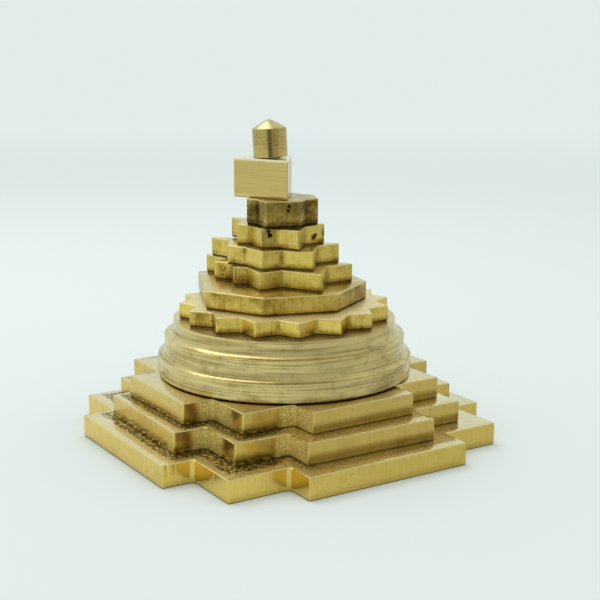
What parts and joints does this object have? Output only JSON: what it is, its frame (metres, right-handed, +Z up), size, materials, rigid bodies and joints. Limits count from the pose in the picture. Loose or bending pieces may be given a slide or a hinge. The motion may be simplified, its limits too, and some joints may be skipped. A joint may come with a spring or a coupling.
{
  "type": "meru shri yantra",
  "caption": "Stepped brass pyramid: square tiers with gates, a turned round tier, star-shaped tiers, a triangle and a pointed finial, stacked on a tie rod; it stands as a ritual object.",
  "frame": {"origin": "centre of the lower square tier's underside", "axes": "+Z up the stack; -Y out of the gate on the right in the picture and -X out of the gate on the left"},
  "size_m": [0.076, 0.076, 0.0657],
  "materials": {
    "polished_brass": "polished sides with fine tool lines, grainy tops",
    "satin_turned_brass": "satin, fine turning lines",
    "sawn_brass": "sawn edges with upright lines, specks of tarnish",
    "tarnished_brass": "brown and olive tarnish",
    "bright_brass": "polished",
    "rod_steel": "plain steel"
  },
  "bodies": {
    "base": {"lower_square_tier": "polished_brass", "tie_rod": "rod_steel", "base_nut": "rod_steel", "base_washer": "rod_steel"},
    "middle_square": {"middle_square_tier": "polished_brass"},
    "upper_square": {"upper_square_tier": "polished_brass"},
    "round": {"round_tier": "satin_turned_brass"},
    "sixteen_point": {"sixteen_point_tier": "sawn_brass"},
    "octagon": {"octagon_tier": "sawn_brass"},
    "first_star": {"first_star_tier": "sawn_brass"},
    "second_star": {"second_star_tier": "sawn_brass"},
    "third_star": {"third_star_tier": "sawn_brass"},
    "fourth_star": {"fourth_star_tier": "tarnished_brass"},
    "triangle": {"triangle_tier": "bright_brass"},
    "finial": {"bindu_finial": "bright_brass"}
  },
  "joints": [
    {"name": "middle_square_turn", "type": "hinge", "parent": "base", "child": "middle_square", "pos_m": [-0.00028, 0.00018, 0.00677], "axis": [0, 0, 1], "continuous": true},
    {"name": "upper_square_turn", "type": "hinge", "parent": "base", "child": "upper_square", "pos_m": [-0.00046, 0.0003, 0.01112], "axis": [0, 0, 1], "continuous": true},
    {"name": "round_turn", "type": "hinge", "parent": "base", "child": "round", "pos_m": [-0.00078, 0.00051, 0.01911], "axis": [0, 0, 1], "continuous": true},
    {"name": "sixteen_point_turn", "type": "hinge", "parent": "base", "child": "sixteen_point", "pos_m": [-0.00109, 0.00071, 0.02661], "axis": [0, 0, 1], "continuous": true},
    {"name": "octagon_turn", "type": "hinge", "parent": "base", "child": "octagon", "pos_m": [-0.00124, 0.00081, 0.03026], "axis": [0, 0, 1], "continuous": true},
    {"name": "first_star_turn", "type": "hinge", "parent": "base", "child": "first_star", "pos_m": [-0.0014, 0.00091, 0.03416], "axis": [0, 0, 1], "continuous": true},
    {"name": "second_star_turn", "type": "hinge", "parent": "base", "child": "second_star", "pos_m": [-0.00156, 0.00102, 0.03811], "axis": [0, 0, 1], "continuous": true},
    {"name": "third_star_turn", "type": "hinge", "parent": "base", "child": "third_star", "pos_m": [-0.00173, 0.00112, 0.04221], "axis": [0, 0, 1], "continuous": true},
    {"name": "fourth_star_turn", "type": "hinge", "parent": "base", "child": "fourth_star", "pos_m": [-0.00193, 0.00125, 0.04711], "axis": [0, 0, 1], "continuous": true},
    {"name": "triangle_turn", "type": "hinge", "parent": "base", "child": "triangle", "pos_m": [-0.00221, 0.00144, 0.05391], "axis": [0, 0, 1], "continuous": true},
    {"name": "finial_screw", "type": "hinge", "parent": "base", "child": "finial", "pos_m": [-0.00238, 0.00155, 0.05813], "axis": [-0.041, 0.0266, 0.9988], "continuous": true}
  ]
}
